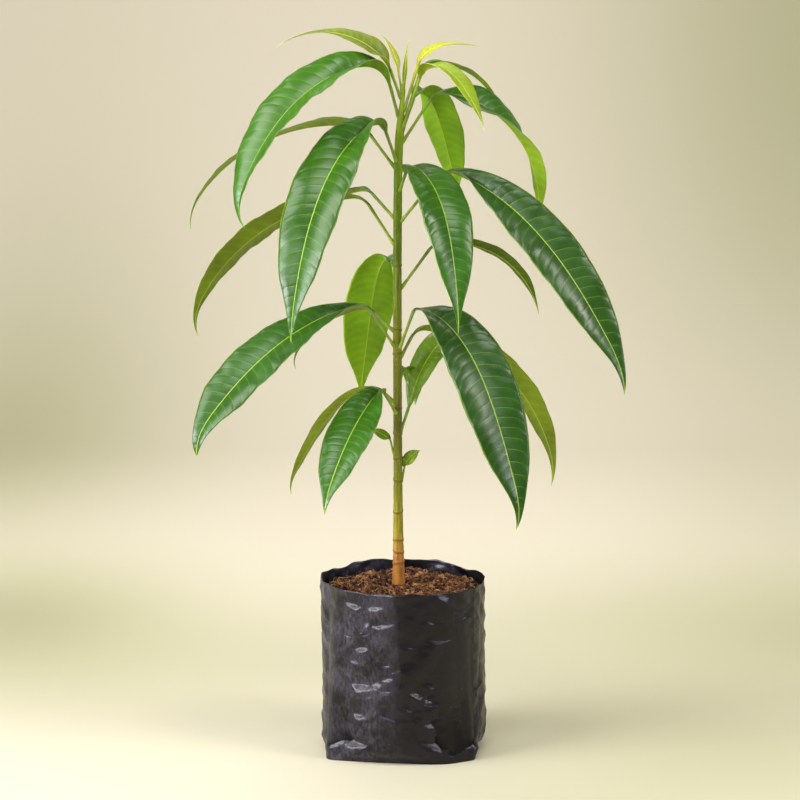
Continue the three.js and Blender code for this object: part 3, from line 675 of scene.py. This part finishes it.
# Young bark: a waxy green skin with long streaks 2 mm wide, tan cork at the foot, brown on each leaf
# ring, freckled with pale pores 4 mm apart.
bark, tree, place = new_material("green_mango_bark")
split = add(tree, "SeparateXYZ", [place])
long_grain = add(tree, "Mapping", {"Vector": place, "Scale": (1.0, 1.0, 0.12)})
streaks = add(tree, "TexNoise", {"Vector": long_grain, "Scale": 520.0, "Detail": 4.0})
drift = add(tree, "TexNoise", {"Vector": place, "Scale": 55.0, "Detail": 3.0})
sway = add(tree, "Math", [drift, 0.03], operation="MULTIPLY")
height = add(tree, "Math", [split.outputs["Z"], sway], operation="ADD")
share = add(tree, "MapRange", [height, 0.155, 0.605])
# The ramp's two darker bands, a third and two thirds of the way up, are painted shade of the leaves above;
# the rest is the bark's own colour, from tan cork to green.
tone = add(tree, "ValToRGB", [share],
           stops=[(0.0, "#9c611e"), (0.08, "#ac742d"), (0.1, "#9c8a22"), (0.2, "#7b7f13"),
                  (0.34, "#5d6012"), (0.5, "#787e14"), (0.68, "#556b0a"), (0.85, "#729018"),
                  (1.0, "#9db024")])
dark = add(tree, "MapRange", [streaks, 0.3, 0.7, 0.6, 1.18])
streaked = add(tree, "VectorMath", {0: tone, "Scale": dark}, operation="SCALE")
pores = add(tree, "TexVoronoi", {"Vector": place, "Scale": 260.0})
pore = add(tree, "MapRange", [pores, 0.05, 0.16, 0.45, 0.0])
pored = add(tree, "Mix", {"Factor": pore, "A": streaked, "B": linear("#c9c384")}, data_type="RGBA")
scar = add(tree, "Attribute", attribute_name="ring_scar").outputs["Fac"]
scarred = add(tree, "MapRange", [scar, 0.25, 0.9, 0.0, 0.75])
colour = add(tree, "Mix", {"Factor": scarred, "A": pored.outputs["Result"], "B": linear("#6a4c1c")},
             data_type="RGBA")
bump = add(tree, "Bump", {"Height": streaks, "Distance": 0.0003, "Strength": 0.6})
shader = add(tree, "BsdfPrincipled", {"Base Color": colour.outputs["Result"], "Normal": bump,
                                      "Roughness": 0.5, "Specular IOR Level": 0.3})
add(tree, "OutputMaterial", {"Surface": shader})

ring_share = np.concatenate([stem_rings(level, angle).ravel(), [0, 0]])
stem = new_piece("stem_bark", stem_points, stem_faces, [bark], maps={"ring_scar": ring_share})
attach(stem, "root")
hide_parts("stem")

# ------------------------------------------------------------------ leaves
# Mango leaves: a straight stalk with a swollen foot, and a long leathery blade folded along a pale
# midrib, puckered between some twenty pairs of side veins, with a wavy edge and a drawn-out tip.
# Angles in the table are in degrees: headings run anticlockwise from +X seen from above, slopes up
# from level.
#   at, toward: height on the stem and heading      rise, petiole: slope and length of the stalk
#   lift, fall, arch: slope of the blade's base and tip, and how late the droop comes
#   knee: share of the blade that turns from stalk to blade      hook: last turn at the tip
#   swing: turn of the heading      roll, twist: tilt about the midrib, and more along the blade
#   fold, open: rise of each half in a V at the base, and further on      belly: widest place
# upper, under: base green of each skin; the bright saturated greens of undersides seen against the   light, such as leaf_12's and leaf_20's, are partly painted light that shines through them.
BLADE_ROW_SPACING = 1.25
STALK_ROW_SPACING = 1.6
COLUMNS_PER_HALF = 15
BLADE_HALF_THICKNESS = 0.26
LEAF_DEFAULTS = dict(swing=0, roll=0, twist=0, hook=-40, belly=0.46, fold=50, open=10, knee=0.1)
LEAVES = {
    "leaf_01": dict(at=240, toward=10, rise=80, petiole=11, lift=75, fall=20, arch=1, hook=0, blade=23,
        width=12, roll=50, upper="#6f8a12", under="#7a9a20"),
    "leaf_02": dict(at=263, toward=180, rise=78, petiole=13, lift=40, fall=20, arch=1, hook=0,
        blade=21, width=10, roll=-50, upper="#5d8008", under="#6f9018"),
    "leaf_03": dict(at=283, toward=46, rise=64, petiole=22, lift=75, fall=-60, arch=0.55, hook=0,
        blade=140, width=27, belly=0.44, fold=15, roll=20, upper="#5f800a", under="#618412"),
    "leaf_04": dict(at=302, toward=242, rise=44, petiole=28, lift=-18, fall=-58, arch=1.2, hook=-30,
        blade=150, width=42, roll=-10, upper="#30600e", under="#7c9138"),
    "leaf_05": dict(at=311, toward=172, rise=44, petiole=12, lift=10, fall=-62, arch=3.5, blade=140,
        width=24, fold=25, roll=22, upper="#45702a", under="#8a9e2a"),
    "leaf_06": dict(at=323, toward=70, rise=56, petiole=14, lift=20, fall=-85, arch=1.5, hook=-10,
        blade=60, width=18, upper="#557f24", under="#5f8a14"),
    "leaf_07": dict(at=351, toward=14, rise=62, petiole=17, lift=-6, fall=-80, arch=1.2, hook=-25,
        blade=220, width=38, roll=-30, upper="#4b7426", under="#6e8210"),
    "leaf_08": dict(at=360, toward=-45, rise=64, petiole=35, lift=8, fall=-70, arch=3.2, knee=0.04,
        hook=-45, blade=242, width=54, fold=25, roll=30, upper="#21470c", under="#6e8a32"),
    "leaf_09": dict(at=361, toward=212, rise=54, petiole=36, lift=0, fall=-50, arch=1.6, hook=-45,
        blade=228, width=48, belly=0.6, fold=40, roll=-25, upper="#2a5610", under="#7a9048"),
    "leaf_10": dict(at=374, toward=170, rise=43, petiole=23, lift=0, fall=-70, arch=1, blade=100,
        width=30, upper="#42702a", under="#7c8f3c"),
    "leaf_11": dict(at=412, toward=12, rise=53, petiole=40, lift=16, fall=-78, arch=1, hook=0,
        blade=134, width=24, roll=-20, upper="#3f6a22", under="#4c6402"),
    "leaf_12": dict(at=414, toward=110, swing=10, rise=65, petiole=17, lift=35, fall=-75, arch=5,
        hook=-10, blade=168, width=50, belly=0.5, fold=30, upper="#4b7a20", under="#76a004"),
    "leaf_13": dict(at=451, toward=172, rise=57, petiole=37, lift=-1, fall=-73, arch=0.97, blade=224,
        width=40, fold=30, roll=28, upper="#446f26", under="#6c8010"),
    "leaf_14": dict(at=471, toward=-25, rise=49, petiole=50, lift=-10, fall=-61, arch=2.1, knee=0.08,
        hook=-30, blade=272, width=46, belly=0.49, roll=45, upper="#23480b", under="#6e8a32"),
    "leaf_15": dict(at=473, toward=148, rise=42, petiole=30, lift=8, fall=-88, arch=1.2, hook=0,
        blade=95, width=22, upper="#456f2a", under="#768a3a"),
    "leaf_16": dict(at=498, toward=-57, swing=-20, rise=60, petiole=17, lift=5, fall=-76, arch=2.2,
        hook=-20, blade=190, width=47, belly=0.38, fold=15, upper="#2a5a06", under="#6e8a32"),
    "leaf_17": dict(at=518, toward=172, rise=53, petiole=33, lift=12, fall=-66, arch=1, hook=-30,
        blade=208, width=36, upper="#3c6410", under="#869a38"),
    "leaf_18": dict(at=524, toward=234, rise=60, petiole=27, lift=0, fall=-78, arch=1.9, hook=-10,
        blade=248, width=56, roll=-8, upper="#2c5a06", under="#6e8a32"),
    "leaf_19": dict(at=540, toward=-1, rise=57, petiole=42, lift=5, fall=-92, arch=1.2, hook=-10,
        blade=168, width=44, fold=12, open=16, roll=62, twist=-118, upper="#2c5a08", under="#7a9c12"),
    "leaf_20": dict(at=548, toward=52, rise=60, petiole=33, lift=40, fall=-68, arch=6, hook=-10,
        blade=128, width=42, belly=0.42, upper="#5c8418", under="#74a002"),
    "leaf_21": dict(at=552, toward=-36, rise=68, petiole=47, lift=66, fall=-58, arch=3.2, hook=-20,
        blade=98, width=29, belly=0.35, fold=25, upper="#86a008", under="#98a820"),
    "leaf_22": dict(at=556, toward=17, rise=71, petiole=45, lift=27, fall=-60, arch=1.5, hook=-20,
        blade=96, width=24, upper="#6a8c0a", under="#6c9010"),
    "leaf_23": dict(at=562, toward=205, rise=74, petiole=23, lift=12, fall=-71, arch=1.6, knee=0.2,
        hook=-55, blade=232, width=54, belly=0.5, fold=50, open=18, roll=-30, twist=30,
        upper="#346608", under="#6a9010"),
    "leaf_24": dict(at=567, toward=5, rise=73, petiole=37, lift=83, fall=-8, arch=2.2, hook=0,
        blade=66, width=15, belly=0.32, fold=20, roll=34, twist=-38, upper="#a8ac20", under="#b4b42c"),
    "leaf_25": dict(at=571, toward=68, swing=-63, rise=73, petiole=12, lift=86, fall=82, arch=1,
        hook=0, blade=47, width=6, fold=40, upper="#8fa41c", under="#9cab2c"),
    "leaf_26": dict(at=578, toward=185, rise=70, petiole=24, lift=58, fall=-35, arch=1, hook=0,
        blade=115, width=23, belly=0.25, fold=35, roll=-60, twist=75, upper="#6a7c08", under="#8e9e06"),
    "leaf_27": dict(at=583, toward=118, swing=52, rise=70, petiole=18, lift=72, fall=48, arch=1,
        hook=0, blade=38, width=9, fold=50, upper="#b0b43a", under="#b8bb48"),
}


def blade_share(s, belly):
    """Half width along the blade as a share of its widest: a rise and a close that meet at belly,
    pinched towards the tip."""
    s = np.clip(s, 0, 1)
    rising = (s / belly) ** (2 * belly)
    closing = ((1 - s) / (1 - belly)) ** (2 * (1 - belly))
    return rising * closing * (1 - 0.35 * smooth((s - 0.75) / 0.2))


def directions(slope, heading, roll):
    """Unit vectors along, aside and up from slopes, headings and a roll about the first, in degrees."""
    e, h, q = np.radians(slope), np.radians(heading), np.radians(roll)
    along = np.stack([np.cos(e) * np.cos(h), np.cos(e) * np.sin(h), np.sin(e)], -1)
    level_side = np.stack([-np.sin(h), np.cos(h), 0 * h], -1)
    upright = np.cross(along, level_side)
    aside = np.cos(q)[:, None] * level_side + np.sin(q)[:, None] * upright
    return along, aside, np.cross(along, aside)


def leaf_mesh(leaf, seed):
    """Points of one leaf, ring by ring from inside the stem to the tip, with their place on the
    blade. A ring is the outline of round stalk and thin blade together: at a distance x from the
    midrib the skin lies the larger of the blade's half thickness and sqrt(r^2 - x^2) off the blade's
    middle surface. That surface is the folded V, plus an arch across each half, a wave along the
    edge, and a pucker between the side veins."""
    v = {**LEAF_DEFAULTS, **leaf}
    chance = np.random.default_rng(seed)
    rows = int(np.clip(v["blade"] / BLADE_ROW_SPACING, 30, 200))
    s = np.linspace(0, 1, rows + 1)
    slope = v["fall"] + (v["lift"] - v["fall"]) * (1 - s) ** v["arch"]
    slope = slope + (v["rise"] - v["lift"]) * (1 - smooth(s / v["knee"]))
    slope = slope + v["hook"] * np.clip((s - 0.8) / 0.2, 0, 1) ** 2
    roll = v["roll"] * smooth(s / 0.25) + v["twist"] * s
    along, aside, upright = directions(slope, v["toward"] + v["swing"] * s, roll)

    # Stalk: from inside the stem, level at first, then straight up its own slope.
    h = math.radians(v["toward"])
    out = np.array([math.cos(h), math.sin(h), 0])
    z = v["at"]
    base = np.array([stem_x(z), 0, z]) + 0.9 * stem_radius(z) * out
    stalk_rows = max(8, int(v["petiole"] / STALK_ROW_SPACING))
    d = np.linspace(0, v["petiole"], stalk_rows)[:-1]
    stalk_slope = mix(v["rise"] / 2, v["rise"], smooth(d / 3))
    stalk_along, stalk_aside, stalk_up = directions(stalk_slope, v["toward"] + 0 * d, 0 * d)
    stalk = base + d[:, None] * directions(np.array([v["rise"]]), np.array([v["toward"]]), np.zeros(1))[0]
    root = base - 0.55 * stem_radius(z) * out
    root[2] -= 1.0
    root_frame = directions(np.zeros(1), np.array([v["toward"]]), np.zeros(1))
    start = base + v["petiole"] * stalk_along[-1]
    step = v["blade"] / rows
    blade = start + np.concatenate([np.zeros((1, 3)), np.cumsum(step / 2 * (along[1:] + along[:-1]), 0)])
    centre = np.concatenate([root[None], stalk, blade])
    aside = np.concatenate([root_frame[1], stalk_aside, aside])
    upright = np.concatenate([root_frame[2], stalk_up, upright])
    before = len(centre) - len(s)
    s = np.concatenate([np.zeros(before), s])

    length = v["petiole"] + v["blade"]
    round_radius = min(1.3, 0.5 + 0.008 * length)
    from_foot = np.concatenate([[0], d])
    swelling = np.concatenate([0.42 * bell(from_foot / 5) + 0.12 * bell((v["petiole"] - from_foot) / 6),
                               0.12 * bell(s[before:] * v["blade"] / 6)])
    rib = round_radius * (1 + swelling) * (0.12 + 0.88 * (1 - s) ** 1.1) * mix(1, 0.82, smooth(s / 0.15))
    half = np.maximum(v["width"] / 2 * blade_share(s, v["belly"]), rib)
    half[:before] = rib[:before]
    blend = smooth(s / 0.12)[:, None]

    u = np.linspace(-1, 1, 2 * COLUMNS_PER_HALF + 1)[None, :]
    sheet = smooth(s / 0.05)[:, None]
    t = (1 - sheet) * np.sin(np.pi / 2 * u) + sheet * np.sign(u) * np.abs(u) ** 1.35
    x = t * half[:, None]

    # Middle surface of the blade.
    spacing = 4 + v["blade"] / 42
    reach = np.abs(x)
    phase = (s[:, None] * v["blade"] - 0.34 * reach - 0.3 * reach * t ** 4) / spacing + 0.4 * (t > 0)
    phase = phase + 0.2 * np.sin(17 * s[:, None] + seed + 2 * (t > 0))
    ease = smooth(s / 0.12)[:, None] * smooth((1 - s) / 0.1)[:, None]
    pucker = np.clip((spacing - 5) / 60, 0.015, 0.09) * (0.65 + 0.35 * np.sin(2.6 * phase + 5 * t))
    pucker = pucker * ease * np.sin(np.pi * np.clip(np.abs(t), 0, 1)) ** 0.6
    lift = pucker * (0.5 - 0.5 * np.cos(2 * np.pi * phase))
    wave_count = v["blade"] / chance.uniform(34, 46)
    turn = chance.uniform(0, 2 * np.pi)
    wave = np.sin(2 * np.pi * wave_count * s[:, None] + turn + 1.9 * np.sign(t))
    wave = wave + 0.4 * np.sin(5.3 * np.pi * wave_count * s[:, None] + 2 * turn - np.sign(t))
    lift = lift + 0.032 * half[:, None] * wave * ease * np.abs(t) ** 2.5
    fold = np.radians(mix(v["fold"], v["open"], smooth(s / 0.4)))[:, None] * blend
    lift = lift + 0.32 * half[:, None] * np.sin(fold) * np.abs(t) * (1 - np.abs(t))
    lift = lift + 0.05 * half[:, None] * ease * np.sin(np.pi * np.abs(t))

    # Skins above and below it.
    thin = BLADE_HALF_THICKNESS * blend * np.sqrt(np.clip(1 - t ** 8, 0, 1))
    round_part = np.sqrt(np.clip(rib[:, None] ** 2 - x * x, 0, None))
    above = np.maximum(thin, round_part * mix(1, 0.42, blend))
    below = np.maximum(thin, round_part)
    near = smooth(reach / (2.2 * rib[:, None]))
    tilt = fold * near
    flat_x = np.sign(t) * reach * np.cos(fold)
    flat_z = reach * np.sin(fold)

    def skin(height):
        """Points at the given height off the middle surface, square to the folded half."""
        return (centre[:, None] + aside[:, None] * (flat_x - np.sign(t) * height * np.sin(tilt))[..., None]
                + upright[:, None] * (flat_z + height * np.cos(tilt))[..., None])

    upper = skin(lift + above)[:, ::-1]
    lower = skin(lift - below)[:, 1:-1]
    points = np.concatenate([upper, lower], 1)
    place = np.stack([phase, reach, t], -1)
    place = np.concatenate([place[:, ::-1], place[:, 1:-1]], 1)
    run = np.concatenate([[0], d / v["petiole"], 1 + s[before:]])
    run = np.stack([run, 0 * run, 0 * run], -1)[:, None, :] + 0 * place
    rings, columns = points.shape[:2]
    faces = tube_faces(rings, columns)
    row, column = np.divmod(np.arange(len(faces[0])), columns)
    kind = np.where(column < 2 * COLUMNS_PER_HALF, 0, 1)
    kind[row < before] = 2
    points = np.concatenate([points.reshape(-1, 3), centre[:1], blade[-1:]])
    place = np.concatenate([place.reshape(-1, 3), np.zeros((2, 3))])
    run = np.concatenate([run.reshape(-1, 3), [[0, 0, 0], [2, 0, 0]]])
    kind = np.concatenate([kind, np.full(columns, 2), np.full(columns, 0)])
    return points, faces, kind, {"blade_place": place, "leaf_run": run}


def blade_material(name, vein, vein_share, gloss, shine, bump_sign, glow):
    """A leaf's skin. Its base colour is the leaf's own, paler along the midrib and side veins and at the
    edge, which are found from the place on the blade. The net of small veins between them is
    drawn in cells of 2 mm, coarser than it is, so that it shows. The pale edge is partly the leaf's own
    margin and partly painted rim light."""
    material, tree, body = new_material(name)
    own = add(tree, "Attribute", attribute_name="leaf_green").outputs["Color"]
    place = add(tree, "Attribute", attribute_name="blade_place").outputs["Vector"]
    run = add(tree, "Attribute", attribute_name="leaf_run").outputs["Vector"]
    run = add(tree, "SeparateXYZ", [run])
    split = add(tree, "SeparateXYZ", [place])
    off = add(tree, "Math", [split, 0.5], operation="PINGPONG")
    mottle = add(tree, "TexNoise", {"Vector": body, "Scale": 45.0, "Detail": 4.0})
    net = add(tree, "TexVoronoi", {"Vector": body, "Scale": 520.0}, feature="DISTANCE_TO_EDGE")
    cell = add(tree, "MapRange", [net, 0.0, 0.18])
    light = add(tree, "MapRange", [mottle, 0.3, 0.7, 0.80, 1.18])
    between = add(tree, "MapRange", [off, 0.0, 0.5, 1.06, 0.95])
    both = add(tree, "Math", [light, between], operation="MULTIPLY")
    green = add(tree, "VectorMath", {0: own, "Scale": both}, operation="SCALE")
    line = add(tree, "MapRange", [off, 0.004, 0.038, vein_share, 0.0], interpolation_type="SMOOTHSTEP")
    reach = add(tree, "Math", [split.outputs["Z"]], operation="ABSOLUTE")
    fade = add(tree, "MapRange", [reach, 0.25, 0.95, 1.0, 0.15])
    side_vein = add(tree, "Math", [line, fade], operation="MULTIPLY")
    rib = add(tree, "MapRange", [split.outputs["Y"], 0.2, 0.68, 0.85, 0.0], interpolation_type="SMOOTHSTEP")
    grown = add(tree, "MapRange", [run, 1.02, 1.2])
    rib = add(tree, "Math", [rib, grown], operation="MULTIPLY")
    # Painted rim light: the pale edge is partly the leaf's margin and partly light along its rim.
    edge = add(tree, "MapRange", [reach, 0.94, 0.99, 0.0, 0.6])
    pale = add(tree, "Math", [side_vein, rib], operation="MAXIMUM")
    pale = add(tree, "Math", [pale, edge], operation="MAXIMUM")
    colour = add(tree, "Mix", {"Factor": pale, "A": green, "B": linear(vein)}, data_type="RGBA")
    swell = add(tree, "MapRange", [off, 0.0, 0.3], interpolation_type="SMOOTHSTEP")
    fine = add(tree, "Math", [cell, 0.10], operation="MULTIPLY")
    height = add(tree, "Math", [swell, fine], operation="ADD")
    height = add(tree, "Math", [height, bump_sign], operation="MULTIPLY")
    bump = add(tree, "Bump", {"Height": height, "Distance": 0.00013, "Strength": 0.8})
    rough = add(tree, "MapRange", [mottle, 0.3, 0.7, gloss - 0.05, gloss + 0.07])
    shader = add(tree, "BsdfPrincipled", {
        "Base Color": colour.outputs["Result"], "Normal": bump, "Roughness": rough, "IOR": 1.5,
        "Specular IOR Level": shine, "Subsurface Weight": glow, "Subsurface Radius": (0.6, 1.0, 0.15),
        "Subsurface Scale": 0.0012})
    add(tree, "OutputMaterial", {"Surface": shader})
    return material


# A hard waxy skin above, glossy and deep green; the underside is duller and paler, with its veins
# standing out instead of sunk in. Young leaves are soft, thin and let light through.
mature_upper = blade_material("mature_leaf_upper_skin", "#9cbc38", 0.28, 0.3, 0.46, 1.0, 0.0)
mature_under = blade_material("mature_leaf_underside", "#a9bd2e", 0.22, 0.55, 0.3, -1.0, 0.15)
young_upper = blade_material("young_leaf_upper_skin", "#d3d95c", 0.25, 0.42, 0.4, 1.0, 0.3)
young_under = blade_material("young_leaf_underside", "#c8d05a", 0.2, 0.55, 0.3, -1.0, 0.3)

# The stalk is green like the upper stem where it leaves it, and takes on its blade's green.
stalk_skin, tree, place = new_material("leaf_stalk_skin")
own = add(tree, "Attribute", attribute_name="leaf_green").outputs["Color"]
run = add(tree, "Attribute", attribute_name="leaf_run").outputs["Vector"]
run = add(tree, "SeparateXYZ", [run])
drift = add(tree, "TexNoise", {"Vector": place, "Scale": 120.0, "Detail": 4.0})
tone = add(tree, "ValToRGB", [drift], stops=[(0.3, "#66821a"), (0.7, "#97ad34")])
share = add(tree, "MapRange", [run, 0.35])
colour = add(tree, "Mix", {"Factor": share, "A": tone, "B": own}, data_type="RGBA")
bump = add(tree, "Bump", {"Height": drift, "Distance": 0.0003, "Strength": 0.4})
shader = add(tree, "BsdfPrincipled", {"Base Color": colour.outputs["Result"], "Normal": bump,
                                      "Roughness": 0.5})
add(tree, "OutputMaterial", {"Surface": shader})

# Each leaf is one piece with two skins and its stalk. The short ones at the top are young.
YOUNG_FROM_HEIGHT = 551
YOUNG_BLADE_LENGTH = 130
for seed, (name, leaf) in enumerate(LEAVES.items()):
    young = leaf["at"] > YOUNG_FROM_HEIGHT and leaf["blade"] < YOUNG_BLADE_LENGTH
    points, faces, kind, maps = leaf_mesh(leaf, seed)
    skins = [young_upper, young_under] if young else [mature_upper, mature_under]
    piece = new_piece(name + "_blade", points, faces, [*skins, stalk_skin], kind, maps)
    # Each skin's green, which on some undersides is partly painted light shining through the leaf.
    greens = np.array([linear(leaf["upper"]), linear(leaf["under"]), linear(leaf["under"])])
    layer = piece.data.attributes.new("leaf_green", "FLOAT_COLOR", "FACE")
    layer.data.foreach_set("color", greens[kind].astype(np.float32).ravel())
    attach(piece, "root")
    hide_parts(name)
